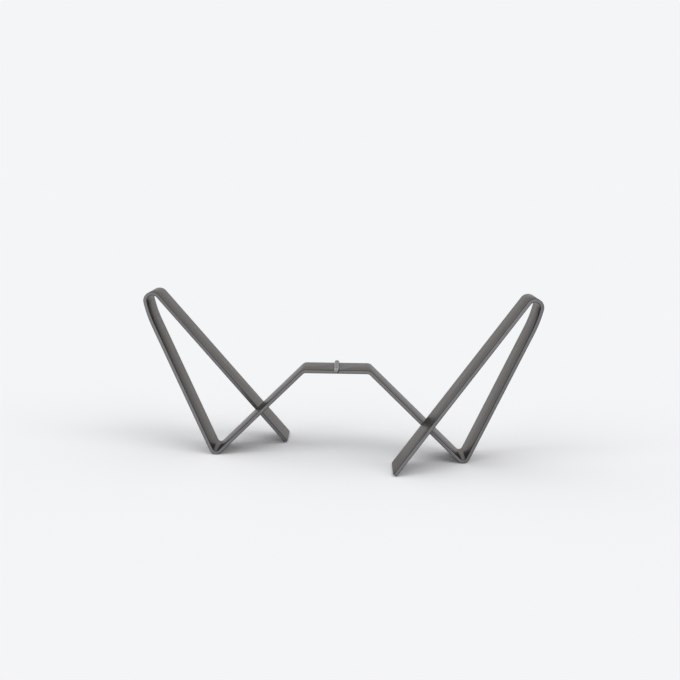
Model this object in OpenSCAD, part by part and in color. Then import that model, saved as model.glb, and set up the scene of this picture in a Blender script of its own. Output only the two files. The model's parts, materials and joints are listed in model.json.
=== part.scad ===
// Folding bookstand: two bent flat-steel wings joined under the book's spine by a pin hinge.
// Origin: on the table, under the middle of the hinge. X runs across the open book, Y away
// from the reader and Z up. The left wing is the right wing turned half a turn about Z.

/* [Strip] */
// Width of the flat strip, square to its edges
strip_w = 40; // [25:1:60]
// Thickness of the strip
strip_t = 3; // [2:0.25:4]
// Angle between the bend lines and a square cut across the strip
skew = 7.5; // [7:0.1:12]
// Corner radius of the cut foot
corner_r = 3; // [0.5:0.25:6]

/* [Stance] */
// Height of the hairpins that carry the covers
height = 139; // [130:1:160]
// Height of the seat under the spine, to its top face
seat_h = 76; // [60:1:85]
// Distance from the middle to the line that each heel stands on
heel_x = 104.5; // [98:0.5:125]
// Slope of the arm from the seat down to the heel
arm_slope = 44.3; // [40:0.1:50]
// Slope of the leg from the heel up to the hairpin
leg_slope = 65; // [62:0.1:70]
// Slope of the brace from the hairpin down to the foot
brace_slope = 51.2; // [46:0.1:54]

/* [Bends] */
// Inside radius of the bends at the seat and the heel
bend_r = 3; // [2:0.25:6]
// Inside radius of the hairpin
hairpin_r = 4.5; // [3:0.25:7]
// Radius of the gentle curve that leads from the leg into the hairpin
lead_r = 98; // [40:1:140]
// Turn of that gentle curve
lead_turn = 12; // [4:0.5:16]

/* [Hinge] */
// Diameter of the hinge pin
pin_d = 2.5; // [2:0.1:2.8]
// Clearance round the pin, on the radius
pin_clear = 0.05; // [0.02:0.01:0.1]
// Outside diameter of the knuckles
knuckle_d = 4.5; // [4:0.1:5]
// Height of the pin's axis above the seat's top face, half the gap between the folded seats
axis_rise = 0; // [0:0.05:1]
// Number of knuckles on each wing
knuckle_pairs = 2; // [1:1:4]
// Gap between neighbouring knuckles
knuckle_gap = 0.3; // [0.2:0.05:0.8]
// Gap between the two seats where they stop against each other
butt_gap = 0.02; // [0.01:0.01:0.2]
// Clearance between a knuckle and the other wing's seat
swing_clear = 0.3; // [0.2:0.05:0.6]
// Diameter of the pin's heads
head_d = 4; // [3.5:0.1:4.5]
// Thickness of the pin's heads
head_t = 1; // [0.6:0.1:2]
// Gap under each head
head_gap = 0.2; // [0.1:0.05:0.5]

/* [Hidden] */
round_fn = 64;
bend_step = 5;            // turn between two sections of a bend
corner_step = 15;         // turn between two sections of a foot corner
drift = tan(skew);        // sideways drift of the strip for each millimetre along it
lane = strip_w / cos(skew);           // width of the strip along its bend lines
bend_mid = bend_r + strip_t / 2;
hairpin_mid = hairpin_r + strip_t / 2;
lead_mid = lead_r + strip_t / 2;
axis_z = seat_h + axis_rise;
pitch = lane / (2 * knuckle_pairs);   // one knuckle and its share of the gaps

// Lengths of the straights, worked out from the heights and slopes
lead_slope = leg_slope + lead_turn;
arm_l = (seat_h - strip_t - 2 * bend_mid * (1 - cos(arm_slope))) / sin(arm_slope);
seat_l = heel_x - 2 * bend_mid * sin(arm_slope) - arm_l * cos(arm_slope);
leg_rise = height - strip_t - bend_mid * (1 - cos(leg_slope))
    - lead_mid * (cos(leg_slope) - cos(lead_slope)) - hairpin_mid * (1 + cos(lead_slope));
leg_l = leg_rise / sin(leg_slope);
brace_drop = height - strip_t / 2 - hairpin_mid * (1 - cos(brace_slope))
    - strip_t / 2 * cos(brace_slope);
brace_l = brace_drop / sin(brace_slope);

// The strip's moves from the hinge to the foot, each [length along the middle, left turn]
moves = [
    [seat_l, 0],
    [bend_mid * rad(arm_slope), -arm_slope],
    [arm_l, 0],
    [bend_mid * rad(arm_slope + leg_slope), arm_slope + leg_slope],
    [leg_l, 0],
    [lead_mid * rad(lead_turn), lead_turn],
    [hairpin_mid * rad(180 + brace_slope - lead_slope), 180 + brace_slope - lead_slope],
    [brace_l, 0]
];

function rad(degrees) = degrees * PI / 180;

// A station is [distance along the strip, x, z, heading]
function ahead(station, length, turn) =
    let (chord = turn == 0 ? length : 2 * length / rad(turn) * sin(turn / 2),
         way = station[3] + turn / 2)
    [station[0] + length, station[1] + chord * cos(way), station[2] + chord * sin(way),
     station[3] + turn];

// Steps that one move is cut into: one for a straight, more for a bend
function steps(move) = move[1] == 0 ? 1 : ceil(abs(move[1]) / bend_step);

function along(station, part, i = 0) = i == len(part) ? [] :
    let (n = steps(part[i]),
         run = [for (k = [1:n]) ahead(station, part[i][0] * k / n, part[i][1] * k / n)])
    concat(run, along(run[n - 1], part, i + 1));

start = [butt_gap / 2, butt_gap / 2, seat_h - strip_t / 2, 0];
stations = concat([start], along([0, 0, seat_h - strip_t / 2, 0], moves));
toe = stations[len(stations) - 1];

// The four corners of the strip's section at a station, with the sides drawn in by inset
function section(station, inset = 0) =
    let (s = station[0], h = station[3], mid = -drift * s, half = lane / 2 - inset)
    [for (c = [[-1, -1], [1, -1], [1, 1], [-1, 1]])
        [station[1] - c[0] * strip_t / 2 * sin(h), mid + c[1] * half,
         station[2] + c[0] * strip_t / 2 * cos(h)]];

// Sections along the last corner_r of the foot, where the corners round off
function foot_sections() =
    [for (a = [0:corner_step:90])
        section(ahead(toe, -corner_r * (1 - sin(a)), 0), corner_r * (1 - cos(a)))];

module loft(sections) {
    points = [for (ring = sections) each ring];
    last = 4 * (len(sections) - 1);
    sides = [for (i = [0:len(sections) - 2], k = [0:3])
        let (a = 4 * i + k, b = 4 * i + (k + 1) % 4)
        each [[a, b, b + 4], [a, b + 4, a + 4]]];
    polyhedron(points, concat([[3, 2, 1, 0], [last, last + 1, last + 2, last + 3]], sides));
}

// A round bar along the hinge line from one place along Y to another
module bar(diameter, from, to) {
    translate([0, from, axis_z])
        rotate([-90, 0, 0])
            cylinder(d = diameter, h = to - from, $fn = round_fn);
}

// Places along Y where each knuckle of the right wing starts
knuckle_starts = [for (i = [0:knuckle_pairs - 1]) -lane / 2 + (2 * i + 1) * pitch];
knuckle_end_gap = knuckle_gap / 2;
swing_d = knuckle_d + 2 * swing_clear;

module ribbon() {
    body = [for (i = [0:len(stations) - 2]) section(stations[i])];
    difference() {
        loft(concat(body, foot_sections()));
        // A seat for the knuckles that are welded on, and room for the other wing's
        for (y = knuckle_starts) {
            bar(knuckle_d, y - knuckle_end_gap, y + pitch + knuckle_end_gap);
            bar(swing_d, y - pitch - knuckle_end_gap, y + knuckle_end_gap);
        }
        // The last of that room runs out past the seat's edge, which drifts away from the hinge
        bar(swing_d, -lane / 2 - drift * swing_d, -lane / 2);
    }
}

module knuckles() {
    for (y = knuckle_starts)
        difference() {
            bar(knuckle_d, y + knuckle_end_gap, y + pitch - knuckle_end_gap);
            bar(pin_d + 2 * pin_clear, y, y + pitch);
        }
}

module other_side() {
    rotate([0, 0, 180])
        children();
}

module ribbon_right() {
    color("dimgray")
        ribbon();
}

module ribbon_left() {
    color("dimgray")
        other_side()
            ribbon();
}

module knuckles_right() {
    color("gray")
        knuckles();
}

module knuckles_left() {
    color("gray")
        other_side()
            knuckles();
}

module hinge_pin() {
    // The seat's edge drifts outwards under the head, so the head starts past it
    reach = lane / 2 + drift * head_d / 2 + head_gap;
    color("silver") {
        bar(pin_d, -reach, reach);
        bar(head_d, -reach - head_t, -reach);
        bar(head_d, reach, reach + head_t);
    }
}

ribbon_left();
ribbon_right();
knuckles_left();
knuckles_right();
hinge_pin();
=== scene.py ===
"""Folding bookstand: the finish of two bent steel wings, their hinge and the table they stand on."""

import json
from math import ceil, cos, inf, pi, radians, sin, tan

import bpy
from mathutils import Matrix, Vector


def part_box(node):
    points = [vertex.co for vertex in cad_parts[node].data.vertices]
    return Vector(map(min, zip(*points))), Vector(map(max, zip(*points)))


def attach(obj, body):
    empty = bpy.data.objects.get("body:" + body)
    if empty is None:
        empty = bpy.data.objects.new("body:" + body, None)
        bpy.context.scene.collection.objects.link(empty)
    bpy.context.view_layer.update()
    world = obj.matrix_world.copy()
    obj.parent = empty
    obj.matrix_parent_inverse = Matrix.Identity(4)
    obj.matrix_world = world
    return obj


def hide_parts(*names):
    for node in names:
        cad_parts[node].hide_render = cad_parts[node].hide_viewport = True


bl_info = {
    "name": "Folding Bookstand",
    "version": (1, 0, 0),
    "blender": (4, 5, 0),
    "location": "3D View > Sidebar > Bookstand",
    "description": "Builds a folding bookstand of bent flat steel with a pin hinge",
    "category": "Add Mesh",
}

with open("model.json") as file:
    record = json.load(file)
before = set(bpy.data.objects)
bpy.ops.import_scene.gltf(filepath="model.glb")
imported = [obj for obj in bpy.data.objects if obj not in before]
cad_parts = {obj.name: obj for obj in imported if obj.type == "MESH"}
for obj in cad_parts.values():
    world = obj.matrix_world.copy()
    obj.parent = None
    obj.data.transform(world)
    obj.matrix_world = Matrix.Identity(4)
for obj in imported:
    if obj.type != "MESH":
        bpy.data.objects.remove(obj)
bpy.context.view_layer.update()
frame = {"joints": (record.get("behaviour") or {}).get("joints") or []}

# What the frame fixes: the hinge line, the height, the knuckles' radius and the pin's reach
HINGE = Vector(frame["joints"][0]["pos_m"])
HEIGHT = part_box("ribbon_right")[1].z
KNUCKLE_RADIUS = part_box("knuckles_right")[1].z - HINGE.z
PIN_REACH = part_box("hinge_pin")[1].y


class StripSizes(bpy.types.PropertyGroup):
    """The flat strip and the way it is bent."""

    width: bpy.props.FloatProperty(
        name="Width", description="Width of the strip, square to its edges",
        default=0.040, unit="LENGTH")
    thickness: bpy.props.FloatProperty(
        name="Thickness", description="Thickness of the strip",
        default=0.003, unit="LENGTH")
    skew: bpy.props.FloatProperty(
        name="Skew", description="Angle between the bend lines and a square cut across",
        default=radians(7.5), subtype="ANGLE")
    seat_height: bpy.props.FloatProperty(
        name="Seat height", description="Height of the seat's top face",
        default=0.076, unit="LENGTH")
    heel: bpy.props.FloatProperty(
        name="Heel", description="Distance from the middle to the line each heel stands on",
        default=0.1045, unit="LENGTH")
    arm_slope: bpy.props.FloatProperty(
        name="Arm slope", description="Slope of the arm from the seat down to the heel",
        default=radians(44.3), subtype="ANGLE")
    leg_slope: bpy.props.FloatProperty(
        name="Leg slope", description="Slope of the leg from the heel up to the hairpin",
        default=radians(65.0), subtype="ANGLE")
    brace_slope: bpy.props.FloatProperty(
        name="Brace slope", description="Slope of the brace from the hairpin to the foot",
        default=radians(51.2), subtype="ANGLE")
    bend: bpy.props.FloatProperty(
        name="Bend", description="Inside radius of the bends at the seat and the heel",
        default=0.003, unit="LENGTH")
    hairpin: bpy.props.FloatProperty(
        name="Hairpin", description="Inside radius of the hairpin",
        default=0.0045, unit="LENGTH")
    lead: bpy.props.FloatProperty(
        name="Lead", description="Radius of the gentle curve into the hairpin",
        default=0.098, unit="LENGTH")
    lead_turn: bpy.props.FloatProperty(
        name="Lead turn", description="Turn of the gentle curve into the hairpin",
        default=radians(12), subtype="ANGLE")
    foot_corner: bpy.props.FloatProperty(
        name="Foot corner", description="Corner radius of the cut foot",
        default=0.003, unit="LENGTH")
    butt_gap: bpy.props.FloatProperty(
        name="Butt gap", description="Gap between the two seats where they stop",
        default=0.00002, unit="LENGTH", precision=5)
    edge_round: bpy.props.FloatProperty(
        name="Edge round", description="Rounding along the strip's long edges",
        default=0.0004, unit="LENGTH", precision=4)


class HingeSizes(bpy.types.PropertyGroup):
    """The barrel and the pin under the book's spine."""

    pairs: bpy.props.IntProperty(
        name="Knuckle pairs", description="Number of knuckles on each wing", default=2)
    knuckle_gap: bpy.props.FloatProperty(
        name="Knuckle gap", description="Gap between neighbouring knuckles",
        default=0.0003, unit="LENGTH", precision=4)
    swing_clear: bpy.props.FloatProperty(
        name="Swing clearance", description="Clearance between a knuckle and the other seat",
        default=0.0003, unit="LENGTH", precision=4)
    pin: bpy.props.FloatProperty(
        name="Pin", description="Diameter of the hinge pin", default=0.0025, unit="LENGTH")
    bore_clear: bpy.props.FloatProperty(
        name="Bore clearance", description="Clearance round the pin, on the radius",
        default=0.00005, unit="LENGTH", precision=5)
    head: bpy.props.FloatProperty(
        name="Head", description="Diameter of the pin's heads", default=0.004, unit="LENGTH")
    head_thickness: bpy.props.FloatProperty(
        name="Head thickness", description="Thickness of the pin's heads",
        default=0.001, unit="LENGTH")
    chamfer: bpy.props.FloatProperty(
        name="Chamfer", description="Rounding at the ends of the knuckles",
        default=0.00025, unit="LENGTH", precision=5)


class Finish(bpy.types.PropertyGroup):
    """Colours of the steel and of the table, with the painted shade on the strip's rounded corners.
    """

    face: bpy.props.FloatVectorProperty(
        name="Face", description="Colour of the strip's wide faces",
        subtype="COLOR", size=3, default=(0.152, 0.145, 0.139))
    edge: bpy.props.FloatVectorProperty(
        name="Edge", description="Colour of the strip's narrow edges",
        subtype="COLOR", size=3, default=(0.188, 0.184, 0.190))
    rim: bpy.props.FloatVectorProperty(
        name="Glancing tint", description="Tint of the steel where it is seen at a low angle",
        subtype="COLOR", size=3, default=(0.545, 0.530, 0.517))
    # Painted shade: this dark colour on the rounded corners paints the thin dark line that shade and
    # reflection draw where face and edge meet
    corner: bpy.props.FloatVectorProperty(
        name="Corner", description="Colour of the dark scale left in the strip's rounded corners",
        subtype="COLOR", size=3, default=(0.040, 0.037, 0.036))
    knuckle: bpy.props.FloatVectorProperty(
        name="Knuckle", description="Colour of the knuckles",
        subtype="COLOR", size=3, default=(0.150, 0.145, 0.141))
    pin: bpy.props.FloatVectorProperty(
        name="Pin", description="Colour of the hinge pin",
        subtype="COLOR", size=3, default=(0.300, 0.300, 0.305))
    table: bpy.props.FloatVectorProperty(
        name="Table", description="Colour of the table and the backdrop",
        subtype="COLOR", size=3, default=(0.905, 0.913, 0.930))


CAMERA_PLACE = (0.01596, -0.98292, 0.23697)
CAMERA_PITCH = radians(8.008)
CAMERA_YAW = radians(-0.756)
CAMERA_ROLL = radians(-0.431)
CAMERA_LENS = 61.834
SENSOR_WIDTH = 36.0
NEAREST, FURTHEST = 0.01, 100.0     # how near and how far the camera sees
TABLE_SIZE = 80.0
# The even sky and the two side lights together bring the table to its own colour
SKY_STRENGTH = 0.66
LIGHT_HEIGHT = radians(38)      # how high each side light stands over the table
LIGHT_TURN = radians(50)        # how far each is swung from the side towards the front
LIGHT_WIDTH = radians(50)       # how wide each looks from the table, which softens its shadows
LIGHT_STRENGTH = (1.0 - SKY_STRENGTH) * pi / (2 * sin(LIGHT_HEIGHT))


# The strip's path -------------------------------------------------------------------------

BEND_STEP = radians(3)          # turn from one fold line of a bend to the next


def strip_moves(strip):
    """The moves from the hinge to the foot, each (length along the middle, left turn)."""
    half = strip.thickness / 2
    bend, hairpin, lead = strip.bend + half, strip.hairpin + half, strip.lead + half
    lead_slope = strip.leg_slope + strip.lead_turn
    heel_turn = strip.arm_slope + strip.leg_slope
    hairpin_turn = pi + strip.brace_slope - lead_slope
    drop = strip.seat_height - strip.thickness - 2 * bend * (1 - cos(strip.arm_slope))
    arm = drop / sin(strip.arm_slope)
    seat = strip.heel - 2 * bend * sin(strip.arm_slope) - arm * cos(strip.arm_slope)
    rise = (HEIGHT - strip.thickness - bend * (1 - cos(strip.leg_slope))
            - lead * (cos(strip.leg_slope) - cos(lead_slope)) - hairpin * (1 + cos(lead_slope)))
    fall = HEIGHT - half - hairpin * (1 - cos(strip.brace_slope)) - half * cos(strip.brace_slope)
    return [
        (seat, 0),
        (bend * strip.arm_slope, -strip.arm_slope),
        (arm, 0),
        (bend * heel_turn, heel_turn),
        (rise / sin(strip.leg_slope), 0),
        (lead * strip.lead_turn, strip.lead_turn),
        (hairpin * hairpin_turn, hairpin_turn),
        (fall / sin(strip.brace_slope), 0),
    ]


def strip_steps(strip):
    """Small steps along the strip, each (length, move in X, move in Z)."""
    heading, steps = 0.0, []
    for length, turn in strip_moves(strip):
        count = max(1, ceil(abs(turn) / BEND_STEP))
        part, share = turn / count, length / count
        chord = share if turn == 0 else 2 * share / part * sin(part / 2)
        for _ in range(count):
            way = heading + part / 2
            steps.append((share, chord * cos(way), chord * sin(way)))
            heading += part
    return steps


# Small tools ------------------------------------------------------------------------------

TOUCHING = 1e-6                 # points closer than this are one point
SHARP = radians(50)             # edges that turn more than this are eased
SMOOTH = radians(30)            # edges that turn less than this are shaded smooth
ROUND = 64                      # sides of the knuckles, of their bore and of the room round them


def deselect_all():
    """Leaves nothing selected and nothing active."""
    bpy.ops.object.select_all(action="DESELECT")
    bpy.context.view_layer.objects.active = None


def use_only(piece):
    """Selects one piece and makes it active."""
    deselect_all()
    piece.select_set(True)
    bpy.context.view_layer.objects.active = piece


def select_points(piece, test):
    """In edit mode, selects just the points whose place passes a test."""
    bpy.ops.mesh.select_all(action="DESELECT")
    bpy.ops.object.mode_set(mode="OBJECT")
    for point in piece.data.vertices:
        point.select = test(point.co)
    bpy.ops.object.mode_set(mode="EDIT")


def apply_modifier(piece, kind, name, **settings):
    """Adds a modifier with its settings and applies it."""
    use_only(piece)
    modifier = piece.modifiers.new(name, kind)
    for key, value in settings.items():
        setattr(modifier, key, value)
    bpy.ops.object.modifier_apply(modifier=modifier.name)


def bake_place(piece):
    """Moves a piece's place, turn and size into its mesh."""
    use_only(piece)
    bpy.ops.object.transform_apply(location=True, rotation=True, scale=True)


def half_turn_copy(piece, name):
    """A copy with its own mesh, turned half a turn about Z."""
    use_only(piece)
    bpy.ops.object.duplicate(linked=False)
    twin = bpy.context.active_object
    twin.name = name
    twin.data.name = name
    twin.rotation_euler = (0, 0, pi)
    bake_place(twin)
    return twin


def cylinder_along_y(name, radius, start, end, vertices=ROUND):
    """A round bar on the hinge line from one place along Y to another."""
    deselect_all()
    bpy.ops.mesh.primitive_cylinder_add(
        vertices=vertices, radius=radius, depth=end - start,
        location=(0, (start + end) / 2, HINGE.z), rotation=(pi / 2, 0, 0))
    bar = bpy.context.active_object
    bar.name = name
    bar.data.name = name
    bake_place(bar)
    return bar


def cut_away(piece, cutters):
    """Cuts round bars out of a piece and deletes them."""
    for cutter in cutters:
        apply_modifier(piece, "BOOLEAN", "cut", operation="DIFFERENCE", object=cutter,
                       solver="EXACT")
        bpy.data.objects.remove(cutter)


def close_mesh(piece):
    """Merges points that lie together, drops empty faces and turns every face outwards."""
    use_only(piece)
    bpy.ops.object.mode_set(mode="EDIT")
    bpy.ops.mesh.select_all(action="SELECT")
    bpy.ops.mesh.remove_doubles(threshold=TOUCHING)
    bpy.ops.mesh.dissolve_degenerate(threshold=TOUCHING)
    bpy.ops.mesh.normals_make_consistent(inside=False)
    bpy.ops.object.mode_set(mode="OBJECT")


def smooth(piece, angle=SMOOTH):
    """Shades a piece smooth, except across edges sharper than an angle."""
    use_only(piece)
    bpy.ops.object.shade_smooth_by_angle(angle=angle)


# Materials --------------------------------------------------------------------------------

STRIP_MAP = "strip"             # the strip's own UV map, in metres
CLOUDS = 42.0                   # soft clouds a metre in the steel's tone
CLOUD_DETAIL = 4.0
MOTTLE = 420.0                  # specks a metre in the mill scale
MOTTLE_DETAIL = 3.0
MOTTLE_SHARE = 0.40             # what the specks count for against the clouds
SPOT_GRIT = 0.6                 # how strong the fine detail is in clouds and specks
LINE_DETAIL = 5.0
LINE_GRIT = 0.62                # how strong the fine detail is in the lines
LINES_SHARE = 0.45              # what the lines count for against clouds and specks
DARKEST, LIGHTEST = 0.36, 0.64  # the noise that gives the darkest and the lightest steel
LESS_DULL, MORE_DULL = 0.07, 0.08   # how far the roughness strays down and up
PIT_DEPTH = 0.00006             # in metres, as are the other depths
LINE_DEPTH = 0.00002
RING_RUNS, RINGS = 60.0, 9000.0     # turning marks a metre across the barrel and along it
RING_DETAIL = 3.0
RING_GRIT = 0.5
RING_DARKEST, RING_LIGHTEST = 0.35, 0.65
RING_CONTRAST = 0.15
RING_RELIEF = 0.2
RING_DEPTH = 0.00001


def new_material(name):
    """A node material with its node tree and its shader."""
    material = bpy.data.materials.new(name)
    material.use_nodes = True
    tree = material.node_tree
    shader = next(n for n in tree.nodes if n.type == "BSDF_PRINCIPLED")
    return material, tree, shader


def add_node(tree, kind, inputs=None, **settings):
    """Adds a node, sets it up, and fills its inputs with values or links."""
    made = tree.nodes.new(kind)
    for key, value in settings.items():
        setattr(made, key, value)
    for key, value in (inputs or {}).items():
        if isinstance(value, bpy.types.NodeSocket):
            tree.links.new(value, made.inputs[key])
        else:
            made.inputs[key].default_value = value
    return made


def tint(colour, share):
    """A colour with its lightness scaled, as four numbers."""
    return (*[channel * share for channel in colour], 1.0)


def strip_noise(tree, along, across):
    """Noise on the strip's own map, with so many spots a metre along it and across it."""
    place = add_node(tree, "ShaderNodeUVMap", uv_map=STRIP_MAP)
    spots = add_node(tree, "ShaderNodeMapping", {
        "Vector": place.outputs["UV"], "Scale": (along, across, 1.0)})
    return add_node(tree, "ShaderNodeTexNoise", {
        "Vector": spots.outputs["Vector"], "Scale": 1.0, "Detail": LINE_DETAIL,
        "Roughness": LINE_GRIT}).outputs["Fac"]


def round_noise(tree, spots, detail):
    """Noise in space, with so many spots a metre each way."""
    place = add_node(tree, "ShaderNodeTexCoord")
    return add_node(tree, "ShaderNodeTexNoise", {
        "Vector": place.outputs["Object"], "Scale": spots, "Detail": detail,
        "Roughness": SPOT_GRIT}).outputs["Fac"]


def mixed(tree, first, second, share):
    """Two values mixed, with the share that goes to the second."""
    return add_node(tree, "ShaderNodeMix", {
        "Factor": share, "A": first, "B": second}, data_type="FLOAT").outputs["Result"]


def stretched(tree, value, low, high, new_low, new_high):
    """A value moved from one range to another, and kept within the new one."""
    return add_node(tree, "ShaderNodeMapRange", {
        "Value": value, "From Min": low, "From Max": high,
        "To Min": new_low, "To Max": new_high}).outputs["Result"]


def paint(tree, shader, tone, dark, light):
    """Colours a shader by a tone, from a dark (place, colour) to a light one."""
    shade = add_node(tree, "ShaderNodeValToRGB", {"Fac": tone})
    for stop, (place, colour) in zip(shade.color_ramp.elements, (dark, light)):
        stop.position, stop.color = place, colour
    tree.links.new(shade.outputs["Color"], shader.inputs["Base Color"])


def strip_steel(name, colour, rim, lines, runs, roughness, contrast, relief):
    """Satin steel with soft clouds, a fine mottle, and lines along the strip.

    It has so many lines a metre across the strip, broken into so many runs a metre along it.
    """
    material, tree, shader = new_material(name)
    shader.inputs["Metallic"].default_value = 1.0
    shader.inputs["Specular Tint"].default_value = (*rim, 1.0)
    fibres = strip_noise(tree, runs, lines)
    clouds = round_noise(tree, CLOUDS, CLOUD_DETAIL)
    mottle = round_noise(tree, MOTTLE, MOTTLE_DETAIL)
    patina = mixed(tree, clouds, mottle, MOTTLE_SHARE)
    tone = mixed(tree, patina, fibres, LINES_SHARE)
    paint(tree, shader, tone, (DARKEST, tint(colour, 1.0 - contrast)),
          (LIGHTEST, tint(colour, 1.0 + contrast)))
    dull = stretched(tree, tone, DARKEST, LIGHTEST, roughness - LESS_DULL, roughness + MORE_DULL)
    tree.links.new(dull, shader.inputs["Roughness"])
    pits = add_node(tree, "ShaderNodeBump", {
        "Height": mottle, "Strength": relief, "Distance": PIT_DEPTH})
    scratches = add_node(tree, "ShaderNodeBump", {
        "Height": fibres, "Strength": relief, "Distance": LINE_DEPTH,
        "Normal": pits.outputs["Normal"]})
    tree.links.new(scratches.outputs["Normal"], shader.inputs["Normal"])
    return material


def turned_steel(name, colour, roughness):
    """Satin steel with fine turning rings round the hinge line."""
    material, tree, shader = new_material(name)
    shader.inputs["Metallic"].default_value = 1.0
    place = add_node(tree, "ShaderNodeTexCoord")
    rings_at = add_node(tree, "ShaderNodeMapping", {
        "Vector": place.outputs["Object"], "Scale": (RING_RUNS, RINGS, RING_RUNS)})
    rings = add_node(tree, "ShaderNodeTexNoise", {
        "Vector": rings_at.outputs["Vector"], "Scale": 1.0, "Detail": RING_DETAIL,
        "Roughness": RING_GRIT})
    paint(tree, shader, rings.outputs["Fac"], (RING_DARKEST, tint(colour, 1.0 - RING_CONTRAST)),
          (RING_LIGHTEST, tint(colour, 1.0 + RING_CONTRAST)))
    shader.inputs["Roughness"].default_value = roughness
    relief = add_node(tree, "ShaderNodeBump", {
        "Height": rings.outputs["Fac"], "Strength": RING_RELIEF, "Distance": RING_DEPTH})
    tree.links.new(relief.outputs["Normal"], shader.inputs["Normal"])
    return material


def strip_materials(finish):
    """The finishes of the wide faces and the narrow edges, and the painted shade on the corners
    between them.
    """
    return [
        strip_steel("strip_face", finish.face, finish.rim, lines=5200.0, runs=45.0,
                    roughness=0.29, contrast=0.26, relief=0.40),
        strip_steel("strip_edge", finish.edge, finish.rim, lines=2600.0, runs=160.0,
                    roughness=0.40, contrast=0.12, relief=0.20),
        # the rounded corners get a painted shade: a dark colour for the dark line along them
        strip_steel("strip_corner_painted_shade", finish.corner, finish.rim, lines=2600.0, runs=60.0,
                    roughness=0.45, contrast=0.25, relief=0.10),
    ]


# The pieces -------------------------------------------------------------------------------

EDGE_SLOT, CORNER_SHADE_SLOT = 1, 2   # places of the edge finish and of the corners' painted shade among the strip's materials
EDGEWAYS = 0.5                  # a normal that leans this far along Y belongs to a narrow edge
FOOT_SEGMENTS = 8
BEVEL_SEGMENTS = 3
PIN_ROUND = 48                  # sides of the pin
RIM_SHARE = 0.4                 # straight part of a pin head's thickness
TIP_SHARE = 0.5                 # flat part of a pin head's width
DOME_STEPS = 5
DOME_SMOOTH = radians(40)       # smooths the dome's steps and leaves the head's rim sharp


def lay_strip_sheet(strip):
    """The right wing's thin middle sheet."""
    drift = tan(strip.skew)
    lane = strip.width / cos(strip.skew)
    steps = strip_steps(strip)
    start = strip.butt_gap / 2
    deselect_all()
    bpy.ops.mesh.primitive_plane_add(size=1)
    sheet = bpy.context.active_object
    sheet.name = "ribbon_right_finish"
    sheet.data.name = sheet.name
    first_x = steps[0][1]
    middle_z = strip.seat_height - strip.thickness / 2
    for vertex in sheet.data.vertices:
        across = vertex.co.y * lane
        x = start if vertex.co.x < 0 else first_x
        vertex.co = (x, across - drift * x, middle_z)
    bpy.ops.object.mode_set(mode="EDIT")
    select_points(sheet, lambda place: abs(place.x - first_x) < TOUCHING)
    for length, move_x, move_z in steps[1:]:
        bpy.ops.mesh.extrude_edges_move(TRANSFORM_OT_translate={
            "value": (move_x, -drift * length, move_z)})
    end_x = sum(step[1] for step in steps)
    end_z = middle_z + sum(step[2] for step in steps)
    select_points(sheet, lambda place: (abs(place.x - end_x) < TOUCHING
                                        and abs(place.z - end_z) < TOUCHING))
    bpy.ops.mesh.bevel(affect="VERTICES", offset=strip.foot_corner, segments=FOOT_SEGMENTS)
    bpy.ops.object.mode_set(mode="OBJECT")
    return sheet


def place_on_strip(point, stations):
    """How far along the strip a point lies, and how far off the strip's middle surface."""
    best = (inf, 0.0, 0.0)
    for (s0, x0, z0), (s1, x1, z1) in zip(stations, stations[1:]):
        dx, dz = x1 - x0, z1 - z0
        square = dx * dx + dz * dz
        share = ((point.x - x0) * dx + (point.z - z0) * dz) / square
        share = min(1.0, max(0.0, share))
        off_x, off_z = point.x - x0 - share * dx, point.z - z0 - share * dz
        gap = off_x ** 2 + off_z ** 2
        if gap < best[0]:
            side = (dx * off_z - dz * off_x) / square ** 0.5
            best = (gap, s0 + share * (s1 - s0), side)
    return best[1:]


def strip_stations(strip):
    """The right wing's middle line as (distance along, x, z) at each fold line."""
    s, x, z = 0.0, 0.0, strip.seat_height - strip.thickness / 2
    stations = [(s, x, z)]
    for length, move_x, move_z in strip_steps(strip):
        s, x, z = s + length, x + move_x, z + move_z
        stations.append((s, x, z))
    return stations


def map_strip(piece, strip):
    """Gives a piece UVs in metres: along the strip, and across it or through it."""
    stations = strip_stations(strip)
    drift = tan(strip.skew)
    mesh = piece.data
    for layer in list(mesh.uv_layers):
        mesh.uv_layers.remove(layer)
    layer = mesh.uv_layers.new(name=STRIP_MAP)
    places = [place_on_strip(vertex.co, stations) for vertex in mesh.vertices]
    for face in mesh.polygons:
        for corner in face.loop_indices:
            index = mesh.loops[corner].vertex_index
            s, off = places[index]
            across = mesh.vertices[index].co.y + drift * s
            layer.data[corner].uv = (s, across if abs(face.normal.y) < EDGEWAYS else off)


def thicken_strip(sheet, strip):
    """Turns the sheet into a strip with square, slightly rounded edges."""
    close_mesh(sheet)
    apply_modifier(sheet, "SOLIDIFY", "wall", thickness=strip.thickness, offset=0.0,
                   use_even_offset=True, use_rim=True, material_offset_rim=EDGE_SLOT)
    # the rounded corners take the painted shade's material
    apply_modifier(sheet, "BEVEL", "edges", width=strip.edge_round, segments=BEVEL_SEGMENTS,
                   limit_method="ANGLE", angle_limit=SHARP, material=CORNER_SHADE_SLOT,
                   use_clamp_overlap=True)


def knuckle_spans(hinge, lane):
    """Where each of the right wing's knuckles starts and ends along Y."""
    pitch = lane / (2 * hinge.pairs)
    starts = [-lane / 2 + (2 * i + 1) * pitch for i in range(hinge.pairs)]
    return [(start, start + pitch) for start in starts]


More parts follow.
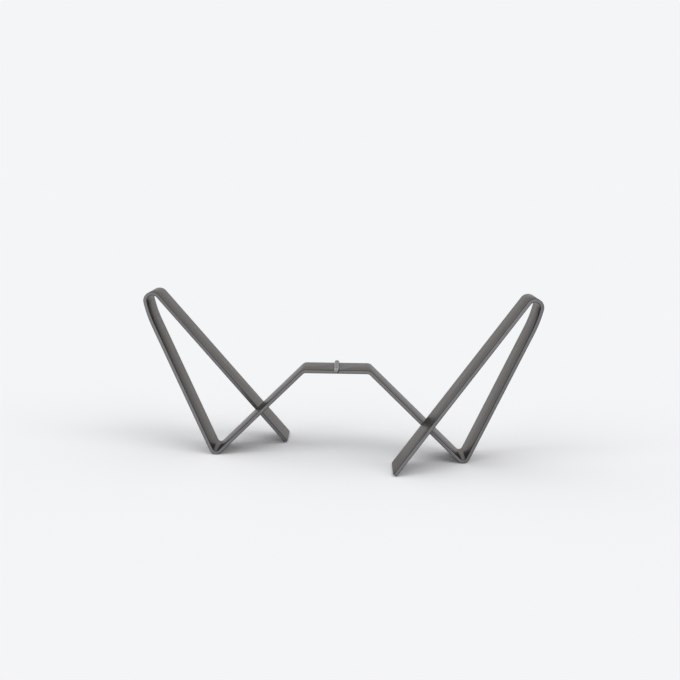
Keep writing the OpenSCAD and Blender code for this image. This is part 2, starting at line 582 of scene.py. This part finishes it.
def hinge_cutters(strip, hinge):
    """Round bars that cut the seat for its own knuckles and clear it of the other wing's."""
    lane = strip.width / cos(strip.skew)
    drift = tan(strip.skew)
    half_gap = hinge.knuckle_gap / 2
    swing = KNUCKLE_RADIUS + hinge.swing_clear
    cutters = []
    for start, end in knuckle_spans(hinge, lane):
        pitch = end - start
        cutters.append(cylinder_along_y("seat_cut", KNUCKLE_RADIUS,
                                        start - half_gap, end + half_gap))
        cutters.append(cylinder_along_y("room_cut", swing,
                                        start - pitch - half_gap, start + half_gap))
    edge_room = drift * 2 * swing
    cutters.append(cylinder_along_y("edge_cut", swing, -lane / 2 - edge_room, -lane / 2))
    return cutters


class BOOKSTAND_OT_ribbons(bpy.types.Operator):
    """Bends the two flat strips and gives them their rolled finish"""

    bl_idname = "bookstand.ribbons"
    bl_label = "Bent strips"

    def execute(self, context):
        strip, hinge = context.scene.bookstand_strip, context.scene.bookstand_hinge
        piece = lay_strip_sheet(strip)
        for material in strip_materials(context.scene.bookstand_finish):
            piece.data.materials.append(material)
        thicken_strip(piece, strip)
        cut_away(piece, hinge_cutters(strip, hinge))
        close_mesh(piece)
        map_strip(piece, strip)
        smooth(piece)
        twin = half_turn_copy(piece, "ribbon_left_finish")
        for made, side in ((piece, "right"), (twin, "left")):
            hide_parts("ribbon_" + side)
            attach(made, side + "_wing")
        return {"FINISHED"}


class BOOKSTAND_OT_knuckles(bpy.types.Operator):
    """Turns the knuckles of both wings, bored for the pin and eased at their ends"""

    bl_idname = "bookstand.knuckles"
    bl_label = "Hinge knuckles"

    def execute(self, context):
        strip, hinge = context.scene.bookstand_strip, context.scene.bookstand_hinge
        lane = strip.width / cos(strip.skew)
        half_gap = hinge.knuckle_gap / 2
        bore = hinge.pin / 2 + hinge.bore_clear
        made = []
        for start, end in knuckle_spans(hinge, lane):
            tube = cylinder_along_y("knuckle", KNUCKLE_RADIUS, start + half_gap, end - half_gap)
            cut_away(tube, [cylinder_along_y("bore_cut", bore, start, end)])
            apply_modifier(tube, "BEVEL", "ends", width=hinge.chamfer, segments=BEVEL_SEGMENTS,
                           limit_method="ANGLE", angle_limit=SHARP)
            made.append(tube)
        deselect_all()
        for tube in made:
            tube.select_set(True)
        context.view_layer.objects.active = made[0]
        bpy.ops.object.join()
        piece = context.active_object
        piece.name = piece.data.name = "knuckles_right_finish"
        piece.data.materials.clear()
        piece.data.materials.append(turned_steel(
            "knuckle_steel", context.scene.bookstand_finish.knuckle, roughness=0.38))
        smooth(piece)
        twin = half_turn_copy(piece, "knuckles_left_finish")
        for part, side in ((piece, "right"), (twin, "left")):
            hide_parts("knuckles_" + side)
            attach(part, side + "_wing")
        return {"FINISHED"}


def add_head(pin, sign, hinge):
    """Shapes one end of the pin into a low domed head, in edit mode."""
    rim = hinge.head_thickness * RIM_SHARE
    dome = hinge.head_thickness - rim
    tip = hinge.head * TIP_SHARE / 2
    # Each step is (how far out it moves, how much wider it gets)
    steps = [(0.0, hinge.head / hinge.pin), (rim, 1.0)]
    radius = hinge.head / 2
    for i in range(1, DOME_STEPS + 1):
        angle = pi / 2 * i / DOME_STEPS
        smaller = tip + (hinge.head / 2 - tip) * cos(angle)
        rise = dome * (sin(angle) - sin(pi / 2 * (i - 1) / DOME_STEPS))
        steps.append((rise, smaller / radius))
        radius = smaller
    end = max(sign * point.co.y for point in pin.data.vertices)
    select_points(pin, lambda place: sign * place.y > end - TOUCHING)
    middle = sign * end
    for rise, size in steps:
        middle += sign * rise
        bpy.ops.mesh.extrude_region_move(TRANSFORM_OT_translate={"value": (0, sign * rise, 0)})
        bpy.ops.transform.resize(value=(size, 1, size), center_override=(0, middle, HINGE.z))


class BOOKSTAND_OT_pin(bpy.types.Operator):
    """Makes the hinge pin with its low domed heads"""

    bl_idname = "bookstand.pin"
    bl_label = "Hinge pin"

    def execute(self, context):
        hinge = context.scene.bookstand_hinge
        under_head = PIN_REACH - hinge.head_thickness
        pin = cylinder_along_y("hinge_pin_finish", hinge.pin / 2, -under_head, under_head,
                               PIN_ROUND)
        for sign in (-1, 1):
            use_only(pin)
            bpy.ops.object.mode_set(mode="EDIT")
            add_head(pin, sign, hinge)
            bpy.ops.object.mode_set(mode="OBJECT")
        close_mesh(pin)
        pin.data.materials.append(turned_steel(
            "pin_steel", context.scene.bookstand_finish.pin, roughness=0.30))
        smooth(pin, DOME_SMOOTH)
        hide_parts("hinge_pin")
        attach(pin, "left_wing")
        return {"FINISHED"}


# The stage --------------------------------------------------------------------------------

def pale_surface(name, colour):
    """A matt surface that shows its own colour where no shadow falls on it."""
    material, _, shader = new_material(name)
    shader.inputs["Base Color"].default_value = (*colour, 1.0)
    shader.inputs["Roughness"].default_value = 1.0
    shader.inputs["Specular IOR Level"].default_value = 0.0
    return material


def light_the_world(colour):
    """An even white sky, seen by the camera and by gloss as the backdrop's own colour."""
    world = bpy.data.worlds.new("studio")
    bpy.context.scene.world = world
    world.use_nodes = True
    tree = world.node_tree
    tree.nodes.clear()
    rays = add_node(tree, "ShaderNodeLightPath")
    seen = add_node(tree, "ShaderNodeMath", {
        0: rays.outputs["Is Camera Ray"], 1: rays.outputs["Is Glossy Ray"]},
        operation="MAXIMUM")
    seen = add_node(tree, "ShaderNodeMath", {
        0: seen.outputs[0], 1: rays.outputs["Is Transmission Ray"]}, operation="MAXIMUM")
    sky = add_node(tree, "ShaderNodeBackground", {
        "Color": (1.0, 1.0, 1.0, 1.0), "Strength": SKY_STRENGTH})
    backdrop = add_node(tree, "ShaderNodeBackground", {"Color": (*colour, 1.0), "Strength": 1.0})
    either = add_node(tree, "ShaderNodeMixShader", {
        0: seen.outputs[0], 1: sky.outputs[0], 2: backdrop.outputs[0]})
    add_node(tree, "ShaderNodeOutputWorld", {"Surface": either.outputs[0]})


def add_side_light(name, side):
    """A wide, even light from high on one side, with soft shadows and no falloff."""
    deselect_all()
    bpy.ops.object.light_add(type="SUN", location=(side, 0, 1), rotation=(
        0, side * (pi / 2 - LIGHT_HEIGHT), -side * LIGHT_TURN))
    light = bpy.context.active_object
    light.name = name
    light.data.angle = LIGHT_WIDTH
    light.data.energy = LIGHT_STRENGTH


def add_camera():
    """The camera in front of the stand, a little above it."""
    deselect_all()
    bpy.ops.object.camera_add(location=CAMERA_PLACE)
    camera = bpy.context.active_object
    camera.data.lens = CAMERA_LENS
    camera.data.sensor_width = SENSOR_WIDTH
    turn = (Matrix.Rotation(-CAMERA_YAW, 3, "Z") @ Matrix.Rotation(pi / 2 - CAMERA_PITCH, 3, "X")
            @ Matrix.Rotation(CAMERA_ROLL, 3, "Z"))
    camera.rotation_euler = turn.to_euler()
    camera.data.clip_start, camera.data.clip_end = NEAREST, FURTHEST
    bpy.context.scene.camera = camera


class BOOKSTAND_OT_stage(bpy.types.Operator):
    """Sets the pale table, the backdrop, the lights and the camera"""

    bl_idname = "bookstand.stage"
    bl_label = "Table, lights and camera"

    def execute(self, context):
        colour = context.scene.bookstand_finish.table
        deselect_all()
        bpy.ops.mesh.primitive_plane_add(size=TABLE_SIZE, location=(0, 0, 0))
        table = context.active_object
        table.name = "table"
        table.data.materials.append(pale_surface("table_top", colour))
        light_the_world(colour)
        add_side_light("left_light", -1)
        add_side_light("right_light", 1)
        add_camera()
        context.scene.view_settings.view_transform = "Standard"
        return {"FINISHED"}


class BOOKSTAND_PT_panel(bpy.types.Panel):
    """Lists the steps that build the stand"""

    bl_idname = "BOOKSTAND_PT_panel"
    bl_label = "Folding bookstand"
    bl_space_type = "VIEW_3D"
    bl_region_type = "UI"
    bl_category = "Bookstand"

    def draw(self, context):
        layout = self.layout
        for group in ("bookstand_strip", "bookstand_hinge", "bookstand_finish"):
            sizes = getattr(context.scene, group)
            box = layout.box()
            for name in sizes.__annotations__:
                box.prop(sizes, name)
        for operator in STEPS:
            layout.operator(operator.bl_idname)


GROUPS = {"bookstand_strip": StripSizes, "bookstand_hinge": HingeSizes,
          "bookstand_finish": Finish}
STEPS = (BOOKSTAND_OT_ribbons, BOOKSTAND_OT_knuckles, BOOKSTAND_OT_pin, BOOKSTAND_OT_stage)


def register():
    for group in (*GROUPS.values(), *STEPS, BOOKSTAND_PT_panel):
        bpy.utils.register_class(group)
    for name, group in GROUPS.items():
        setattr(bpy.types.Scene, name, bpy.props.PointerProperty(type=group))


def unregister():
    for name in GROUPS:
        delattr(bpy.types.Scene, name)
    for group in reversed((*GROUPS.values(), *STEPS, BOOKSTAND_PT_panel)):
        bpy.utils.unregister_class(group)


def main():
    register()
    bpy.ops.bookstand.ribbons()
    bpy.ops.bookstand.knuckles()
    bpy.ops.bookstand.pin()
    bpy.ops.bookstand.stage()


if __name__ == "__main__":
    main()
